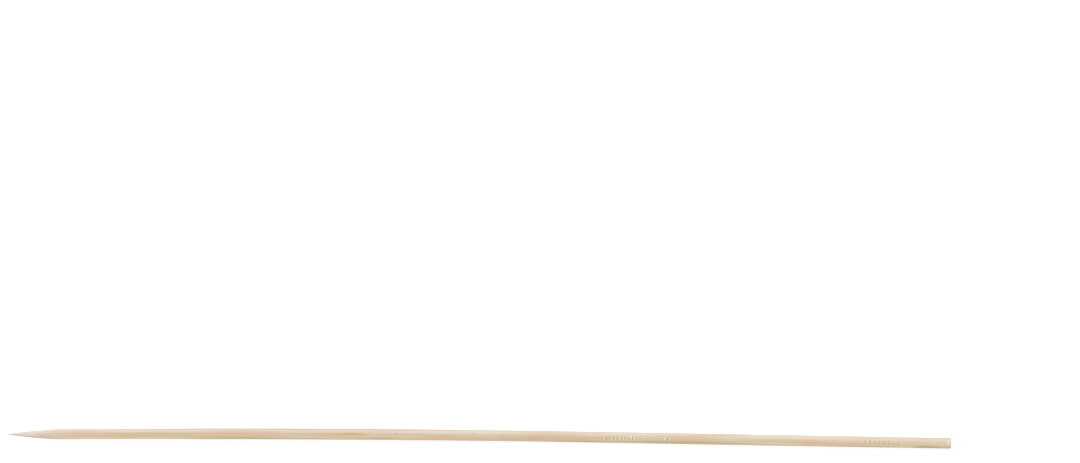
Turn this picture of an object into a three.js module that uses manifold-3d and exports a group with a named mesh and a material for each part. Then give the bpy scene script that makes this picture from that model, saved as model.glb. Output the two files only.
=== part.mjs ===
// A round bamboo skewer, in millimetres, lying level as it comes to rest.
// +X runs from the ground point to the sawn butt, +Y is the side that it bows towards, and +Z is up.
// The origin is on the surface that it lies on, under the middle of its outline.

import * as THREE from 'three';
import Module from 'manifold-3d';
import { mergeVertices } from 'three/addons/utils/BufferGeometryUtils.js';

// The stick, from end to end, and the round shaft
const LENGTH = 250;
const DIAMETER = 2.9;

// The slimmer stretch behind the point, where the end of the stick came through the cutters. It
// runs this far from the tip, and then swells to the full shaft over the length of the taper.
const NECK_DIAMETER = 2.7;
const NECK_END = 39;
const NECK_TAPER = 14;

// The point, ground while the stick turns, from its tip to its shoulder on the neck
const POINT_LENGTH = 15;
const TIP_RADIUS = 0.15;

// The butt, sawn square, with its sharp edge taken off
const BUTT_EDGE_RADIUS = 0.2;

// The one soft bend. Two straight runs would meet in a corner, this far from the tip and this far
// off the line between the ends, and the bend rounds it off over its own length.
const CORNER_FROM_TIP = 93;
const CORNER_OFF_LINE = 1.7;
const BEND_LENGTH = 130;

// The nicks that a ribbed feed roller pressed into the front, measured up from level
const NICK_DEPTH = 0.07;
const NICK_WIDTH = 0.45;
const NICK_ARC = THREE.MathUtils.degToRad(62);
const NICK_DIRECTION = THREE.MathUtils.degToRad(40);
const NICK_RUNS = [
  { fromButt: 91.3, pitch: 1.0, count: 10 },
  { fromButt: 75.2, pitch: 1.0, count: 1 },
  { fromButt: 22.8, pitch: 1.25, count: 6 },
  { fromButt: 14.0, pitch: 1.25, count: 1 },
];

// How finely round forms are faceted. A multiple of four sides keeps a flat facet underneath.
const STICK_SIDES = 32;
const TOOTH_SIDES = 72;
const POINT_STEPS = 12;
const TAPER_STEPS = 4;
const ROUNDING_STEPS = 3;
const SHAFT_STEP = 10;

const radius = DIAMETER / 2;
const neckRadius = NECK_DIAMETER / 2;
const fullShaftFrom = NECK_END + NECK_TAPER;
const wasm = await Module();
wasm.setup();

// A straight stretch of the outline, cut into steps that are short enough to follow the bend
function straightStretch(from, to) {
  const stretch = new THREE.LineCurve(from, to);
  return stretch.getPoints(Math.ceil(stretch.getLength() / SHAFT_STEP));
}

// Half of the stick's outline, from the tip to the butt, as radius and distance from the tip.
// The point is a parabola, tangent to the rounded tip at one end and to the neck at the other.
function stickOutline() {
  const tipCentre = new THREE.Vector2(0, TIP_RADIUS);
  const shoulder = new THREE.Vector2(neckRadius, POINT_LENGTH);
  const pointControl = new THREE.Vector2(neckRadius, POINT_LENGTH / 2);
  const toControl = pointControl.clone().sub(tipCentre);
  const tipEnd = toControl.angle() - Math.acos(TIP_RADIUS / toControl.length());
  const tip = new THREE.EllipseCurve(0, tipCentre.y, TIP_RADIUS, TIP_RADIUS, -Math.PI / 2, tipEnd);

  const edgeX = radius - BUTT_EDGE_RADIUS;
  const edgeY = LENGTH - BUTT_EDGE_RADIUS;
  const edge = new THREE.EllipseCurve(edgeX, edgeY, BUTT_EDGE_RADIUS, BUTT_EDGE_RADIUS, 0, Math.PI / 2);

  const neckEnd = new THREE.Vector2(neckRadius, NECK_END);
  const shaftStart = new THREE.Vector2(radius, fullShaftFrom);
  const taperMiddle = NECK_END + NECK_TAPER / 2;
  const taperControls = [neckRadius, radius].map((r) => new THREE.Vector2(r, taperMiddle));

  const point = new THREE.QuadraticBezierCurve(tip.getPoint(1), pointControl, shoulder);
  const taper = new THREE.CubicBezierCurve(neckEnd, ...taperControls, shaftStart);
  return [
    ...tip.getPoints(ROUNDING_STEPS),
    ...point.getPoints(POINT_STEPS).slice(1),
    ...straightStretch(shoulder, neckEnd).slice(1),
    ...taper.getPoints(TAPER_STEPS).slice(1),
    ...straightStretch(shaftStart, edge.getPoint(0)).slice(1),
    ...edge.getPoints(ROUNDING_STEPS).slice(1),
    new THREE.Vector2(0, LENGTH),
  ];
}

// The line down the middle of the bowed stick, seen from above
function stickCentreline() {
  const tip = new THREE.Vector2(0, 0);
  const corner = new THREE.Vector2(CORNER_FROM_TIP, CORNER_OFF_LINE);
  const butt = new THREE.Vector2(LENGTH, 0);
  const bendStart = corner.clone().lerp(tip, BEND_LENGTH / 2 / corner.distanceTo(tip));
  const bendEnd = corner.clone().lerp(butt, BEND_LENGTH / 2 / corner.distanceTo(butt));
  const line = new THREE.CurvePath();
  line.add(new THREE.LineCurve(tip, bendStart));
  line.add(new THREE.QuadraticBezierCurve(bendStart, corner, bendEnd));
  line.add(new THREE.LineCurve(bendEnd, butt));
  return line;
}

// Carries a shape from the straight stick, which lies on the X axis, onto the bowed one
function bendAlong(centreline, geometry) {
  const position = geometry.getAttribute('position');
  for (let i = 0; i < position.count; i += 1) {
    const along = position.getX(i) / LENGTH;
    const sideways = position.getY(i);
    const place = centreline.getPoint(along);
    const tangent = centreline.getTangent(along);
    position.setX(i, place.x - tangent.y * sideways);
    position.setY(i, place.y + tangent.x * sideways);
  }
  return geometry;
}

// A solid turned about the X axis, from an outline of radius and distance along X
function turnedSolid(outline, sides) {
  const halfSide = Math.PI / sides;
  return new THREE.LatheGeometry(outline, sides, halfSide).rotateZ(-Math.PI / 2);
}

// One tooth of the feed roller, as a ring round the stick. Its hollow edge is the circle through
// the two ends of the nick and its deepest point, so the nick runs out to nothing at both ends.
function rollerTooth(fromTip) {
  const halfWidth = radius * Math.sin(NICK_ARC / 2);
  const rise = radius - NICK_DEPTH - radius * Math.cos(NICK_ARC / 2);
  const hollowRadius = (halfWidth ** 2 + rise ** 2) / (2 * rise);
  const offset = hollowRadius - radius + NICK_DEPTH;
  const toothHeight = 3 * NICK_DEPTH;
  const toothHalfBase = (3 * NICK_WIDTH) / 2;
  const edge = new THREE.Vector2(hollowRadius, 0);
  const section = [
    edge,
    new THREE.Vector2(hollowRadius + toothHeight, -toothHalfBase),
    new THREE.Vector2(hollowRadius + toothHeight, toothHalfBase),
    edge,
  ];
  const tooth = turnedSolid(section, TOOTH_SIDES);
  const backward = offset * Math.cos(NICK_DIRECTION);
  const downward = offset * Math.sin(NICK_DIRECTION);
  return tooth.translate(fromTip, backward, -downward);
}

// Where each nick is, from the tip. The roller leaves none short of the full shaft.
function nickPlaces() {
  const places = NICK_RUNS.flatMap(({ fromButt, pitch, count }) =>
    Array.from({ length: count }, (_, nick) => LENGTH - fromButt + nick * pitch));
  return places.filter((fromTip) => fromTip > fullShaftFrom + NICK_WIDTH && fromTip < LENGTH - NICK_WIDTH);
}

function toManifold(geometry) {
  geometry.deleteAttribute('normal');
  geometry.deleteAttribute('uv');
  const merged = mergeVertices(geometry);
  const vertProperties = new Float32Array(merged.getAttribute('position').array);
  const triVerts = new Uint32Array(merged.getIndex().array);
  return new wasm.Manifold(new wasm.Mesh({ numProp: 3, vertProperties, triVerts }));
}

function toGeometry(solid) {
  const { vertProperties, triVerts } = solid.getMesh();
  const geometry = new THREE.BufferGeometry();
  geometry.setAttribute('position', new THREE.BufferAttribute(vertProperties, 3));
  geometry.setIndex(new THREE.BufferAttribute(triVerts, 1));
  return geometry;
}

// Moves a shape so that the origin is under its middle, on the surface that it lies on
function standOnOrigin(geometry) {
  geometry.computeBoundingBox();
  const { min, max } = geometry.boundingBox;
  geometry.translate(-(min.x + max.x) / 2, -(min.y + max.y) / 2, -min.z);
  geometry.computeVertexNormals();
  return geometry;
}

function makeSkewer() {
  const centreline = stickCentreline();
  let stick = toManifold(bendAlong(centreline, turnedSolid(stickOutline(), STICK_SIDES)));
  for (const fromTip of nickPlaces()) {
    stick = stick.subtract(toManifold(bendAlong(centreline, rollerTooth(fromTip))));
  }
  const bamboo = new THREE.MeshStandardMaterial({ color: 0xdcc9a6, roughness: 0.6, metalness: 0 });
  const skewer = new THREE.Mesh(standOnOrigin(toGeometry(stick)), bamboo);
  skewer.name = 'skewer';
  return skewer;
}

const model = new THREE.Group();
model.add(makeSkewer());

export default model;
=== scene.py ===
import math
import random

import bpy
import numpy as np
from mathutils import Matrix, Vector


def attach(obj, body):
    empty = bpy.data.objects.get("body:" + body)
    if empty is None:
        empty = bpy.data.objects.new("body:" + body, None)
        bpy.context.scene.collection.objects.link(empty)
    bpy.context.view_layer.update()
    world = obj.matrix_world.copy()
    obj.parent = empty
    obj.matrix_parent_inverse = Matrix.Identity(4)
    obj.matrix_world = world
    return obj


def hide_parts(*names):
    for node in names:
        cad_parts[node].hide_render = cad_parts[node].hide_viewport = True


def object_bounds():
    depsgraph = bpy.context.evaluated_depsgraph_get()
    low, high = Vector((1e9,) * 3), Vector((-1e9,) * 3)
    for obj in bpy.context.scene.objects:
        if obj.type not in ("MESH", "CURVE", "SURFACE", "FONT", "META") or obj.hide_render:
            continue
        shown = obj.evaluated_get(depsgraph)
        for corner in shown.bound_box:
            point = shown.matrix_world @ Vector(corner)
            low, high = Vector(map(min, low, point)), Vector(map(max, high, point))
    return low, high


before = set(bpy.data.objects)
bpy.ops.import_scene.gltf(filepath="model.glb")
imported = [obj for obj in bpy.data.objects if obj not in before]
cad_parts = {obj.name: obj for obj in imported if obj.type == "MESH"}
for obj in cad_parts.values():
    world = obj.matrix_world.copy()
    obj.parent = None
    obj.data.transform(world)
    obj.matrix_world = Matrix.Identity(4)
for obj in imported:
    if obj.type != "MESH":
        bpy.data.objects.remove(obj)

cad_low, cad_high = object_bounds()

# The shaft. One length of bamboo, split from the culm and run between round cutters. The end that
# came through first is a little slimmer, and the section is never quite round.
MM = 0.001
LENGTH = 250 * MM
RADIUS = (cad_high.z - cad_low.z) / 2
NECK_RADIUS = RADIUS - 0.1 * MM
NECK_END = 39 * MM
NECK_TAPER = 14 * MM
OUT_OF_ROUND = 0.012
OUT_OF_ROUND_TWIST = 9
WAVER = 0.012
WAVER_LENGTH = 70 * MM
SIDES = 64
SHAFT_STEP = 0.32 * MM

chance = random.Random(1907)


def radius_at(place):
    """The shaft's radius at distances from the tip."""
    swell = np.clip((place - NECK_END) / NECK_TAPER, 0, 1)
    return NECK_RADIUS + (RADIUS - NECK_RADIUS) * swell ** 2 * (3 - 2 * swell)


def waves(values, length, count, seed):
    """A smooth random curve from -1 to 1 over values, with swells of about that length."""
    source = random.Random(seed)
    total = np.zeros_like(values)
    for _ in range(count):
        total += np.sin(2 * math.pi * values / (length * source.uniform(0.6, 1.8)) + source.uniform(0, 6.3))
    return total / count


# The point, ground on a belt while the stick turns. It leaves the rounded tip steeply over its nose,
# runs nearly straight and meets the shaft in a short shoulder. The grit scores fine rings round it.
POINT_LENGTH = 13.8 * MM
SHOULDER_LENGTH = 2.8 * MM
NOSE_LENGTH = 2.4 * MM
NOSE_RADIUS = 0.58 * MM
TIP_RADIUS = 0.15 * MM
POINT_RINGS = 130
TIP_RINGS = 6
GRIT_RING_DEPTH = 0.007 * MM
GRIT_RING_PITCH = 0.5 * MM

reach = math.hypot(NOSE_RADIUS, NOSE_LENGTH - TIP_RADIUS)
tip_end = math.atan2(NOSE_LENGTH - TIP_RADIUS, NOSE_RADIUS) - math.acos(TIP_RADIUS / reach)
turn = np.linspace(-math.pi / 2, tip_end, TIP_RINGS + 1)[1:]
tip_along = TIP_RADIUS * (1 + np.sin(turn))
tip_across = TIP_RADIUS * np.cos(turn)
share = np.linspace(0, 1, POINT_RINGS + 1)[1:]
first, second = (1 - share) ** 3, 3 * share * (1 - share) ** 2
third, fourth = 3 * share ** 2 * (1 - share), share ** 3
shoulder = POINT_LENGTH - SHOULDER_LENGTH
point_along = first * tip_along[-1] + second * NOSE_LENGTH + third * shoulder + fourth * POINT_LENGTH
point_across = first * tip_across[-1] + second * NOSE_RADIUS + (third + fourth) * NECK_RADIUS

# The nicks. A ribbed feed roller pressed them across the stick as it drew it through, and they show
# on the front. Each is shallow and uneven, pale on the ground beside it and brown in the groove, where
# the brown is partly crushed fibre and partly painted shade.
# Angles round the stick are measured from level at the back, up over the top and down the front.
NICK_ANGLE = math.radians(140)
NICK_ARC = math.radians(62)
NICK_DEPTH = 0.07 * MM
NICK_WIDTH = 0.45 * MM
NICK_STEP = 0.06 * MM
BURNISHED_REACH = 0.7 * MM
NICK_RUNS = [
    {"from_butt": 95.2 * MM, "pitch": 0.7 * MM, "count": 2, "pressure": 0.35},
    {"from_butt": 91.3 * MM, "pitch": 1.0 * MM, "count": 10, "pressure": 0.9},
    {"from_butt": 75.1 * MM, "pitch": 1.0 * MM, "count": 1, "pressure": 1.3},
    {"from_butt": 22.8 * MM, "pitch": 1.25 * MM, "count": 6, "pressure": 0.75},
    {"from_butt": 14.0 * MM, "pitch": 1.25 * MM, "count": 1, "pressure": 0.7},
]

nicks = []
for run in NICK_RUNS:
    for number in range(run["count"]):
        nicks.append({
            "place": LENGTH - run["from_butt"] + number * run["pitch"] + chance.uniform(-0.06, 0.06) * MM,
            "pressure": run["pressure"] * chance.uniform(0.7, 1),
            "angle": NICK_ANGLE + chance.uniform(-0.07, 0.07),
            "arc": NICK_ARC * chance.uniform(0.85, 1.05),
            "slant": chance.uniform(-0.08, 0.08) * MM,
        })

# The butt, sawn square in the bundle. The saw leaves shallow straight marks over the end and tears
# the edge a little here and there, and tumbling has taken its sharpness off.
BUTT_EDGE_RADIUS = 0.2 * MM
EDGE_RINGS = 6
FACE_RINGS = 26
SAW_MARK_DEPTH = 0.012 * MM
SAW_MARK_PITCH = 0.4 * MM
TORN_DEPTH = 0.05 * MM
TORN_LENGTH = 0.9

shaft_end = LENGTH - BUTT_EDGE_RADIUS
shaft_along = []
place = POINT_LENGTH
while place < shaft_end - SHAFT_STEP:
    near_nick = any(abs(place - nick["place"]) < NICK_WIDTH for nick in nicks)
    place += NICK_STEP if near_nick else SHAFT_STEP
    shaft_along.append(place)
shaft_across = radius_at(np.array(shaft_along))
turn = np.linspace(0, math.pi / 2, EDGE_RINGS + 1)
edge_along = shaft_end + BUTT_EDGE_RADIUS * np.sin(turn)
edge_across = RADIUS - BUTT_EDGE_RADIUS * (1 - np.cos(turn))
face_across = (RADIUS - BUTT_EDGE_RADIUS) * np.linspace(1, 0, FACE_RINGS + 1)[1:-1]
face_along = np.full(len(face_across), LENGTH)
along = np.concatenate([tip_along, point_along, shaft_along, edge_along, face_along])
across = np.concatenate([tip_across, point_across, shaft_across, edge_across, face_across])

# The surface, as a grid of rings: place from the tip, angle round the stick, and radius.
slope_along, slope_across = np.gradient(along), np.gradient(across)
slope = np.hypot(slope_along, slope_across)
outward_along = (-slope_across / slope)[:, None]
outward_across = (slope_along / slope)[:, None]
turn = np.linspace(0, 2 * math.pi, SIDES, endpoint=False)
place_grid, angle_grid = np.meshgrid(along, turn, indexing="ij")
thinning = WAVER * (0.5 + 0.5 * waves(place_grid, WAVER_LENGTH, 3, 5))
flattening = OUT_OF_ROUND * (0.5 + 0.5 * np.cos(2 * angle_grid + 0.8 + place_grid * OUT_OF_ROUND_TWIST))
radius_grid = across[:, None] * (1 - thinning - flattening)
section_y, section_z = radius_grid * np.cos(angle_grid), radius_grid * np.sin(angle_grid)

# The fibre. Bamboo is soft pale tissue with bundles of hard golden fibre running its length, closest
# together on the side that was next to the culm's skin. They stand proud of a surface that is sanded.
SKIN_ANGLE = math.radians(215)
CLOSE_SPACING = 0.3 * MM
WIDE_SPACING = 0.55 * MM
FIBRE_RELIEF = 0.022 * MM
BUNDLE_TRIES = 4000
BUNDLE_THICKNESS = 0.3
GRAIN_RUN_OUT = 0.004
JOINT_FROM_TIP = 97 * MM
JOINT_REACH = 5 * MM
JOINT_KINK = 0.12 * MM

bundles = []
for _ in range(BUNDLE_TRIES):
    angle = chance.uniform(0, 2 * math.pi)
    out = 1.15 * RADIUS * math.sqrt(chance.random())
    y, z = out * math.cos(angle), out * math.sin(angle)
    toward_skin = 0.5 + 0.5 * (y * math.cos(SKIN_ANGLE) + z * math.sin(SKIN_ANGLE)) / RADIUS
    spacing = WIDE_SPACING + (CLOSE_SPACING - WIDE_SPACING) * toward_skin
    if all(math.hypot(y - other["y"], z - other["z"]) > spacing for other in bundles):
        bundles.append({
            "y": y,
            "z": z,
            "thickness": BUNDLE_THICKNESS * spacing * chance.uniform(0.8, 1.2),
            "wander": chance.uniform(0.02, 0.08) * MM,
            "wave": chance.uniform(50, 170) * MM,
            "phase": chance.uniform(0, 2 * math.pi),
        })

bundle = np.zeros_like(place_grid)
drift = GRAIN_RUN_OUT * (place_grid - LENGTH / 2)
at_joint = JOINT_KINK * np.exp(-((place_grid - JOINT_FROM_TIP) / JOINT_REACH) ** 2)
for strand in bundles:
    swing = strand["wander"] * np.sin(2 * math.pi * place_grid / strand["wave"] + strand["phase"])
    away_y = section_y - strand["y"] - swing - drift
    away_z = section_z - strand["z"] - swing * math.cos(strand["phase"]) - at_joint
    nearness = np.exp(-(away_y ** 2 + away_z ** 2) / strand["thickness"] ** 2)
    bundle = np.maximum(bundle, nearness)
relief = -FIBRE_RELIEF * (1 - bundle)

# The marks of the belt, the saw and the roller, cut into that surface.
on_point = np.minimum(1, 4 * np.clip(1 - place_grid / POINT_LENGTH, 0, 1))
grit_rings = 0.5 + 0.5 * waves(place_grid + 0.1 * MM * np.cos(angle_grid), GRIT_RING_PITCH, 5, 8)
relief -= GRIT_RING_DEPTH * on_point * grit_rings
on_face = np.clip((place_grid - shaft_end) / BUTT_EDGE_RADIUS, 0, 1)
saw_marks = 0.5 + 0.5 * waves(section_y * 0.8 + section_z * 0.6, SAW_MARK_PITCH, 4, 3)
torn = np.clip(radius_grid / RADIUS * 4 - 3, 0, 1) * (0.5 + 0.5 * waves(angle_grid, TORN_LENGTH, 4, 12)) ** 2
relief -= on_face * (SAW_MARK_DEPTH * saw_marks + TORN_DEPTH * torn)

pressed = np.zeros_like(place_grid)
burnished = np.zeros_like(place_grid)
for nick in nicks:
    round_it = (angle_grid - nick["angle"]) / (nick["arc"] / 2)
    hold = nick["pressure"] * np.clip(1 - np.abs(round_it) ** 3, 0, 1)
    off = place_grid - nick["place"] - nick["slant"] * round_it
    pressed = np.maximum(pressed, np.clip(hold - np.abs(off) / (NICK_WIDTH / 2), 0, 1))
    burnished = np.maximum(burnished, hold * np.exp(-(off / BURNISHED_REACH) ** 2))
relief -= NICK_DEPTH * pressed

# The tone. Bamboo dries in long soft patches, rosy or olive, with a few golden and brown stains where
# the culm was bruised. Each has its place from the tip and the angle round the stick of its middle,
# its length and width, its colour and its strength. The first two are greyish bands down the sides,
# painted shade along the two rims seen from the front and above, and a few near-white spots are painted
# highlights on the point, the nicks, the top rim and the sawn edge.
STAIN_EDGE_OUT = 1.4
STAIN_EDGE_WIDTH = 1.1
LEAST_SHARE = 0.001
STAINS_AND_PAINTED_LIGHT = [
    # Painted shade: greyish bands along the upper and lower rims, the full length of the stick.
    (125 * MM, math.radians(48), 400 * MM, 1.0 * MM, "#A39789", 0.75),
    (125 * MM, math.radians(220), 400 * MM, 1.3 * MM, "#978B78", 0.6),
    # Painted highlights on the point: a near-white spot and a pale band along its upper front.
    (3.7 * MM, math.radians(125), 2 * MM, 0.4 * MM, "#F2EDE8", 0.7),
    (8 * MM, math.radians(112), 14 * MM, 2.4 * MM, "#EDE0D4", 0.9),
    (6.5 * MM, math.radians(200), 12 * MM, 1.5 * MM, "#A59C8E", 0.75),
    (10.5 * MM, math.radians(140), 5 * MM, 0.9 * MM, "#D0B388", 0.45),
    (18 * MM, math.radians(130), 26 * MM, 2.2 * MM, "#DCC2AB", 0.5),
    (24 * MM, math.radians(200), 18 * MM, 0.6 * MM, "#D6A77E", 0.4),
    (41 * MM, math.radians(150), 34 * MM, 1.7 * MM, "#CBBD88", 0.5),
    (40.5 * MM, math.radians(196), 13 * MM, 0.6 * MM, "#D9A98A", 0.5),
    (45 * MM, math.radians(140), 8 * MM, 0.45 * MM, "#D3C081", 0.5),
    (62 * MM, math.radians(120), 26 * MM, 1.7 * MM, "#DFB29A", 0.6),
    (62 * MM, math.radians(184), 25 * MM, 1.1 * MM, "#B1A46B", 0.65),
    (78 * MM, math.radians(198), 16 * MM, 0.9 * MM, "#B59C84", 0.5),
    (86 * MM, math.radians(134), 22 * MM, 1.4 * MM, "#D9AE78", 0.4),
    (91.5 * MM, math.radians(128), 8 * MM, 0.45 * MM, "#CB9650", 0.65),
    (99 * MM, math.radians(180), 9 * MM, 0.5 * MM, "#AE8A66", 0.55),
    (103.2 * MM, math.radians(122), 1.0 * MM, 0.3 * MM, "#8E6E48", 0.4),
    (114.5 * MM, math.radians(162), 13 * MM, 1.5 * MM, "#DBAB84", 0.5),
    (123.3 * MM, math.radians(120), 1.1 * MM, 0.28 * MM, "#9A7B58", 0.35),
    (131 * MM, math.radians(136), 1.2 * MM, 0.3 * MM, "#8E6E48", 0.5),
    (140.5 * MM, math.radians(158), 6 * MM, 0.8 * MM, "#C69468", 0.35),
    (146.5 * MM, math.radians(146), 29 * MM, 1.6 * MM, "#DDAE88", 0.4),
    (151 * MM, math.radians(194), 18 * MM, 0.8 * MM, "#A98C74", 0.6),
    # A painted glint: a near-white spot on top of the nicks.
    (165.2 * MM, math.radians(118), 0.8 * MM, 0.6 * MM, "#FFFBF2", 1),
    (174.3 * MM, math.radians(140), 0.8 * MM, 0.9 * MM, "#F4E6CC", 0.7),
    (181 * MM, math.radians(178), 32 * MM, 1.3 * MM, "#AFA16C", 0.65),
    # A painted highlight: a near-white fleck on the top rim.
    (199.5 * MM, math.radians(58), 7 * MM, 0.5 * MM, "#F6EFE6", 0.8),
    (215 * MM, math.radians(112), 70 * MM, 1.2 * MM, "#EBD6C2", 0.4),
    (217 * MM, math.radians(164), 20 * MM, 1.1 * MM, "#DDA788", 0.5),
    (222 * MM, math.radians(200), 14 * MM, 0.8 * MM, "#B4907C", 0.5),
    (229.5 * MM, math.radians(190), 12 * MM, 0.9 * MM, "#A99C67", 0.55),
    (231.5 * MM, math.radians(148), 12 * MM, 1.3 * MM, "#CCBF83", 0.6),
    (244 * MM, math.radians(186), 10 * MM, 1.1 * MM, "#9A945F", 0.8),
    (247.6 * MM, math.radians(155), 4 * MM, 1.8 * MM, "#E8C0A2", 0.5),
    (249 * MM, math.radians(202), 5 * MM, 1.4 * MM, "#A89D8E", 0.5),
    # A painted highlight: a pale strip on the upper front of the rounded sawn edge.
    (249.3 * MM, math.radians(122), 0.8 * MM, 1.6 * MM, "#F8EDE2", 0.6),
]


def linear(hex_colour):
    """The linear colour of an sRGB hex value, with full alpha."""
    values = [int(hex_colour[start:start + 2], 16) / 255 for start in (1, 3, 5)]
    curved = [value / 12.92 if value <= 0.04045 else ((value + 0.055) / 1.055) ** 2.4 for value in values]
    return (*curved, 1)


# The blended list holds real stains together with the painted rim shade and painted highlights.
stain_and_painted_light = np.zeros(place_grid.shape + (4,))
for place, angle, length, width, hex_colour, strength in STAINS_AND_PAINTED_LIGHT:
    round_it = (angle_grid - angle) * RADIUS
    away = np.hypot((place_grid - place) / (length / 2), round_it / (width / 2))
    held = np.clip((STAIN_EDGE_OUT - away) / STAIN_EDGE_WIDTH, 0, 1)[..., None]
    share = strength * held ** 2 * (3 - 2 * held)
    stain_and_painted_light = share * np.array(linear(hex_colour)) + (1 - share) * stain_and_painted_light
stain_and_painted_light[..., :3] /= np.maximum(stain_and_painted_light[..., 3:], LEAST_SHARE)

straight_x = place_grid + relief * outward_along
straight_y = section_y + relief * outward_across * np.cos(angle_grid)
straight_z = section_z + relief * outward_across * np.sin(angle_grid)
x = np.concatenate([[0], straight_x.ravel(), [LENGTH]])
y = np.concatenate([[0], straight_y.ravel(), [0]])
z = np.concatenate([[0], straight_z.ravel(), [0]])

# The bend. The stick has dried with one long soft bend, so it lies bowed to the back. Two straight
# runs would meet in a corner there, and the bend rounds it off over its own length.
CORNER_FROM_TIP = 93 * MM
CORNER_OFF_LINE = 1.7 * MM
BEND_LENGTH = 130 * MM
BEND_STEPS = 100
TIP_PLACE = Vector((cad_low.x, cad_low.y + RADIUS, cad_low.z + RADIUS))

tip, corner, butt = np.array([0, 0]), np.array([CORNER_FROM_TIP, CORNER_OFF_LINE]), np.array([LENGTH, 0])
bend_start = corner + (tip - corner) * (BEND_LENGTH / 2 / np.linalg.norm(tip - corner))
bend_end = corner + (butt - corner) * (BEND_LENGTH / 2 / np.linalg.norm(butt - corner))
share = np.linspace(0, 1, BEND_STEPS + 1)[:, None]
bend = (1 - share) ** 2 * bend_start + 2 * share * (1 - share) * corner + share ** 2 * bend_end
line = np.vstack([tip, bend, butt])
steps = np.diff(line, axis=0)
step_lengths = np.linalg.norm(steps, axis=1)
run_along = np.concatenate([[0], np.cumsum(step_lengths)])
run_along *= LENGTH / run_along[-1]
way = steps / step_lengths[:, None]
way_along = (run_along[1:] + run_along[:-1]) / 2
way_x = np.interp(x, way_along, way[:, 0])
way_y = np.interp(x, way_along, way[:, 1])
place_x = TIP_PLACE.x + np.interp(x, run_along, line[:, 0]) - way_y * y
place_y = TIP_PLACE.y + np.interp(x, run_along, line[:, 1]) + way_x * y
place_z = TIP_PLACE.z + z

faces = [(0, 1 + (side + 1) % SIDES, 1 + side) for side in range(SIDES)]
for ring in range(len(along) - 1):
    near, far = 1 + ring * SIDES, 1 + (ring + 1) * SIDES
    for side in range(SIDES):
        following = (side + 1) % SIDES
        faces.append((near + side, near + following, far + following, far + side))
end = len(x) - 1
faces += [(end, end - SIDES + side, end - SIDES + (side + 1) % SIDES) for side in range(SIDES)]
mesh = bpy.data.meshes.new("skewer_stick")
mesh.from_pydata(np.stack([place_x, place_y, place_z], 1), [], faces)
mesh.polygons.foreach_set("use_smooth", [True] * len(mesh.polygons))
grown = mesh.attributes.new("straight_stick", "FLOAT_VECTOR", "POINT")
grown.data.foreach_set("vector", np.stack([x, y, z], 1).astype(np.float32).ravel())
for name, values in [("bundle", bundle), ("pressed", pressed), ("burnished", burnished), ("sawn", on_face)]:
    values = np.concatenate([values[0, :1], values.ravel(), values[-1, :1]])
    grown = mesh.attributes.new(name, "FLOAT", "POINT")
    grown.data.foreach_set("value", values.astype(np.float32))
stain_and_painted_light = np.vstack([stain_and_painted_light[0, :1], stain_and_painted_light.reshape(-1, 4), stain_and_painted_light[-1, :1]])
grown = mesh.attributes.new("stain_and_painted_light", "FLOAT_COLOR", "POINT")
grown.data.foreach_set("color", stain_and_painted_light.astype(np.float32).ravel())
stick = bpy.data.objects.new("skewer_stick", mesh)
bpy.context.scene.collection.objects.link(stick)


def add_node(tree, kind, inputs=None, **settings):
    """Adds a node with its settings. inputs holds, by name or number, a value or the socket to link."""
    node = tree.nodes.new(kind)
    for name, value in settings.items():
        setattr(node, name, value)
    for name, value in (inputs or {}).items():
        if isinstance(value, bpy.types.NodeSocket):
            tree.links.new(value, node.inputs[name])
        else:
            node.inputs[name].default_value = value
    return node


# Ground bamboo, dry from the sander and never oiled: straw-coloured, with long thin streaks and the
# faintest satin gleam, because the open pores of the cut fibre scatter most of the light.
SOFT_TISSUE = linear("#E0CFB5")
FIBRE = linear("#D0B58D")
PALE_STREAK = linear("#E8DFCA")
DARK_STREAK = linear("#AC906B")
# Also a painted sheen: this pale tint lightens the top.
HOLLOW_SIDE_AND_SHEEN = linear("#E4DCD2")
# Also painted shade: this olive darkens the lower front.
SKIN_SIDE_AND_SHADE = linear("#B9AC80")
ROSY_PATCH = linear("#DDB898")
GROUND_TIP = linear("#D3D2D1")
BURNISHED = linear("#F1E2C4")
# Partly painted shade: the brown in each groove stands in part for the shade inside it.
NICK_BROWN_AND_SHADE = linear("#A5744A")
END_GRAIN = linear("#BFAE98")
END_PORE = linear("#7A5C3C")
STREAK_LENGTH, STREAK_WIDTH = 14 * MM, 0.11 * MM
PATCH_LENGTH, PATCH_WIDTH = 45 * MM, 0.8 * MM
ROSY_LENGTH, ROSY_WIDTH = 22 * MM, 1.1 * MM
PORE_SPACING = 0.34 * MM
GREY_FROM_TIP = 9 * MM
ALL_GREY_FROM_TIP = 1 * MM
BUMP_HEIGHT = 0.02 * MM

bamboo = bpy.data.materials.new("ground_bamboo")
bamboo.use_nodes = True
tree = bamboo.node_tree
tree.nodes.clear()
straight = add_node(tree, "ShaderNodeAttribute", attribute_name="straight_stick").outputs["Vector"]
bundle = add_node(tree, "ShaderNodeAttribute", attribute_name="bundle").outputs["Fac"]
pressed = add_node(tree, "ShaderNodeAttribute", attribute_name="pressed").outputs["Fac"]
burnished = add_node(tree, "ShaderNodeAttribute", attribute_name="burnished").outputs["Fac"]
sawn = add_node(tree, "ShaderNodeAttribute", attribute_name="sawn").outputs["Fac"]
stain_and_light_marks = add_node(tree, "ShaderNodeAttribute", attribute_name="stain_and_painted_light").outputs
from_tip = add_node(tree, "ShaderNodeSeparateXYZ", {0: straight}).outputs[0]

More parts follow.
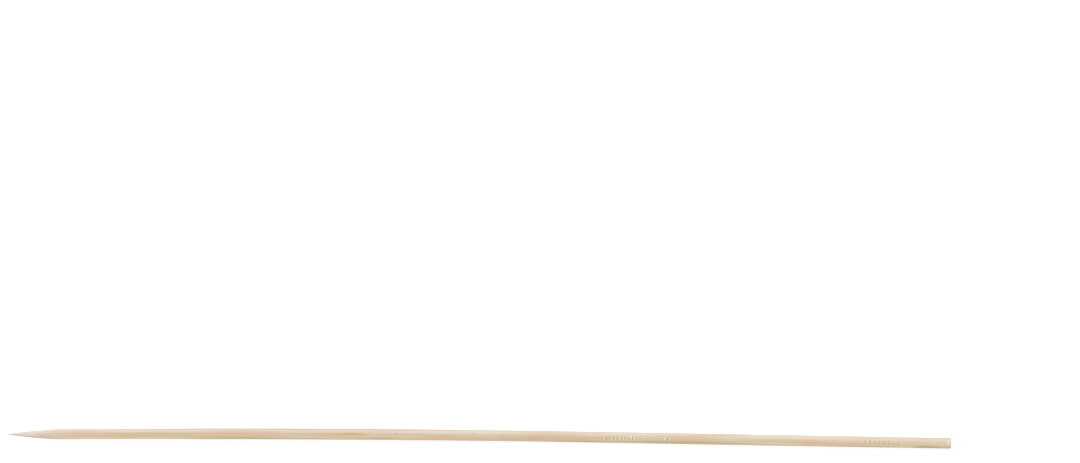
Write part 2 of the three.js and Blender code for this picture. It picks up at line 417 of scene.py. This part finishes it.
grains = []
for length, width, detail in [
        (STREAK_LENGTH, STREAK_WIDTH, 3), (PATCH_LENGTH, PATCH_WIDTH, 2), (ROSY_LENGTH, ROSY_WIDTH, 2)]:
    drawn_out = add_node(tree, "ShaderNodeVectorMath", {0: straight, 1: (1 / length, 1 / width, 1 / width)},
                         operation="MULTIPLY").outputs[0]
    grains.append(add_node(tree, "ShaderNodeTexNoise", {
        "Vector": drawn_out, "Scale": 1, "Detail": detail, "Roughness": 0.6}).outputs[0])
streaks, patches, rosy = grains

# How far each point is towards the side that was next to the skin, from 1 there to -1 opposite
skin_way = (0, math.cos(SKIN_ANGLE) / RADIUS, math.sin(SKIN_ANGLE) / RADIUS)
skinward = add_node(tree, "ShaderNodeVectorMath", {0: straight, 1: skin_way},
                    operation="DOT_PRODUCT").outputs[1]
# The skin side's olive falls on the lower front. It is partly the wood's own tone and partly painted shade
# on the underside.
skin_and_shade = add_node(tree, "ShaderNodeMapRange", {0: skinward, 1: 0, 2: 1, 3: 0, 4: 0.8}).outputs[0]
patchy = add_node(tree, "ShaderNodeMapRange", {0: patches, 1: 0.35, 2: 0.65, 3: 0.3, 4: 1}).outputs[0]
skin_and_shade = add_node(tree, "ShaderNodeMath", {0: skin_and_shade, 1: patchy}, operation="MULTIPLY").outputs[0]
# The hollow side's pale tint is strongest over the top. It is partly the wood's own tone and partly a
# painted sheen from the light above and behind.
hollow_and_sheen = add_node(tree, "ShaderNodeMath", {0: skinward, 1: 0.5}, operation="ADD").outputs[0]
hollow_and_sheen = add_node(tree, "ShaderNodeMath", {0: hollow_and_sheen}, operation="ABSOLUTE").outputs[0]
hollow_and_sheen = add_node(tree, "ShaderNodeMapRange", {0: hollow_and_sheen, 1: 0.65, 2: 0.05, 3: 0, 4: 0.75}).outputs[0]
# This layer lays on the real stains and also the painted rim shade and painted highlights of the list.
frayed_stain_and_light = add_node(tree, "ShaderNodeMapRange", {0: streaks, 1: 0.3, 2: 0.6, 3: 0.55, 4: 1}).outputs[0]
frayed_stain_and_light = add_node(tree, "ShaderNodeMath", {0: frayed_stain_and_light, 1: stain_and_light_marks["Alpha"]}, operation="MULTIPLY").outputs[0]

pore_scale = (0, 1 / PORE_SPACING, 1 / PORE_SPACING)
pore_grid = add_node(tree, "ShaderNodeVectorMath", {0: straight, 1: pore_scale},
                     operation="MULTIPLY").outputs[0]
pores = add_node(tree, "ShaderNodeTexVoronoi", {
    "Vector": pore_grid, "Scale": 1, "Randomness": 0.7}).outputs[0]
pores = add_node(tree, "ShaderNodeMapRange", {0: pores, 1: 0.42, 2: 0.12, 3: 0, 4: 0.75}).outputs[0]
end_grain = add_node(tree, "ShaderNodeMath", {0: sawn, 1: 0.65}, operation="MULTIPLY").outputs[0]
pores = add_node(tree, "ShaderNodeMath", {0: pores, 1: sawn}, operation="MULTIPLY").outputs[0]

pale = add_node(tree, "ShaderNodeMapRange", {0: streaks, 1: 0.52, 2: 0.72, 3: 0, 4: 0.55}).outputs[0]
dark = add_node(tree, "ShaderNodeMapRange", {0: streaks, 1: 0.46, 2: 0.26, 3: 0, 4: 0.5}).outputs[0]
rosy = add_node(tree, "ShaderNodeMapRange", {0: rosy, 1: 0.48, 2: 0.68, 3: 0, 4: 0.6}).outputs[0]
ground_off = add_node(tree, "ShaderNodeMapRange", {
    0: from_tip, 1: GREY_FROM_TIP, 2: ALL_GREY_FROM_TIP, 3: 0, 4: 1}).outputs[0]
rubbed = add_node(tree, "ShaderNodeMath", {0: burnished, 1: 0.6}, operation="MULTIPLY").outputs[0]
# The brown in the grooves, partly crushed fibre and partly painted shade.
groove_brown_and_shade = add_node(tree, "ShaderNodeMath", {0: pressed, 1: 0.8}, operation="POWER").outputs[0]

# Each layer of colour lies over the ones before it, by its own share.
layers = [
    (bundle, FIBRE),
    (pale, PALE_STREAK),
    (dark, DARK_STREAK),
    (skin_and_shade, SKIN_SIDE_AND_SHADE),
    (hollow_and_sheen, HOLLOW_SIDE_AND_SHEEN),
    (rosy, ROSY_PATCH),
    (ground_off, GROUND_TIP),
    (rubbed, BURNISHED),
    (frayed_stain_and_light, stain_and_light_marks["Color"]),
    (groove_brown_and_shade, NICK_BROWN_AND_SHADE),
    (end_grain, END_GRAIN),
    (pores, END_PORE),
]
colour = SOFT_TISSUE
for share, layer_colour in layers:
    mixed = add_node(tree, "ShaderNodeMix", {0: share, 6: colour, 7: layer_colour}, data_type="RGBA")
    colour = mixed.outputs[2]

rough = add_node(tree, "ShaderNodeMapRange", {0: streaks, 1: 0.3, 2: 0.7, 3: 0.7, 4: 0.55}).outputs[0]
bump = add_node(tree, "ShaderNodeBump", {"Height": streaks, "Distance": BUMP_HEIGHT, "Strength": 0.7})
surface = add_node(tree, "ShaderNodeBsdfPrincipled", {
    "Base Color": colour, "Roughness": rough, "IOR": 1.5, "Specular IOR Level": 0.25,
    "Normal": bump.outputs[0]})
add_node(tree, "ShaderNodeOutputMaterial", {"Surface": surface.outputs[0]})
mesh.materials.append(bamboo)

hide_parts("skewer")
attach(stick, "root")

# The table: a sheet of white acrylic that is lit from below, so that what lies on it throws hardly
# any shadow. It is wide enough that its far edge is never near the stick.
FLOOR_HALF = 5
FLOOR_GLOW = 0.68
floor_mesh = bpy.data.meshes.new("floor")
floor_corners = [(x * FLOOR_HALF, y * FLOOR_HALF, 0) for x, y in ((-1, -1), (1, -1), (1, 1), (-1, 1))]
floor_mesh.from_pydata(floor_corners, [], [(0, 1, 2, 3)])
floor = bpy.data.objects.new("floor", floor_mesh)
bpy.context.scene.collection.objects.link(floor)
acrylic = bpy.data.materials.new("lit_white_acrylic")
acrylic.use_nodes = True
acrylic_surface = acrylic.node_tree.nodes["Principled BSDF"].inputs
acrylic_surface["Base Color"].default_value = linear("#B8B8B8")
acrylic_surface["Roughness"].default_value = 0.9
acrylic_surface["Emission Color"].default_value = linear("#FFFFFF")
acrylic_surface["Emission Strength"].default_value = FLOOR_GLOW
floor_mesh.materials.append(acrylic)

# The light: a white tent all round, with one large soft lamp low behind the stick and to the right.
LAMP_PLACE = Vector((0.3, 0.9, 0.8))
LAMP_LENGTH = 1.0
LAMP_WIDTH = 0.6
LAMP_POWER = 3
TENT_BRIGHTNESS = 0.93
world = bpy.data.worlds.new("white_tent")
bpy.context.scene.world = world
world.use_nodes = True
world.node_tree.nodes["Background"].inputs["Color"].default_value = linear("#FFFFFF")
world.node_tree.nodes["Background"].inputs["Strength"].default_value = TENT_BRIGHTNESS
lamp_data = bpy.data.lights.new("soft_lamp", "AREA")
lamp_data.shape = "RECTANGLE"
lamp_data.size = LAMP_LENGTH
lamp_data.size_y = LAMP_WIDTH
lamp_data.energy = LAMP_POWER
lamp = bpy.data.objects.new("soft_lamp", lamp_data)
bpy.context.scene.collection.objects.link(lamp)
lamp.location = LAMP_PLACE
lamp.rotation_euler = (-LAMP_PLACE).to_track_quat("-Z", "Y").to_euler()
bpy.context.scene.view_settings.view_transform = "Standard"

# The camera looks down at 45 degrees through a long lens. It stands where the tip and the middle of
# the sawn end fall on these pixels of a picture of this size.
PICTURE_WIDTH = 1080
PICTURE_HEIGHT = 463
TIP_PIXEL = (8, 434.45)
BUTT_PIXEL = (951, 443.35)
FOCAL_PIXELS = 3500
LOOK_DOWN = math.radians(45)
SENSOR_WIDTH = 36


def sight_line(pixel, heading):
    """The way from the camera towards a pixel, a unit deep, for a camera turned that far to the left."""
    right = (pixel[0] - PICTURE_WIDTH / 2) / FOCAL_PIXELS
    down = (pixel[1] - PICTURE_HEIGHT / 2) / FOCAL_PIXELS
    forward = math.cos(LOOK_DOWN) - down * math.sin(LOOK_DOWN)
    fall = math.sin(LOOK_DOWN) + down * math.cos(LOOK_DOWN)
    return Matrix.Rotation(heading, 3, "Z") @ Vector((right, forward, -fall))


to_tip, to_butt = sight_line(TIP_PIXEL, 0), sight_line(BUTT_PIXEL, 0)
span = to_butt * (to_tip.z / to_butt.z) - to_tip
tip_depth = LENGTH / span.length
heading = -math.atan2(span.y, span.x)
camera_data = bpy.data.cameras.new("camera")
camera_data.sensor_width = SENSOR_WIDTH
camera_data.lens = FOCAL_PIXELS * SENSOR_WIDTH / PICTURE_WIDTH
camera = bpy.data.objects.new("camera", camera_data)
bpy.context.scene.collection.objects.link(camera)
camera.location = TIP_PLACE - sight_line(TIP_PIXEL, heading) * tip_depth
camera.rotation_euler = (math.pi / 2 - LOOK_DOWN, 0, heading)
bpy.context.scene.camera = camera
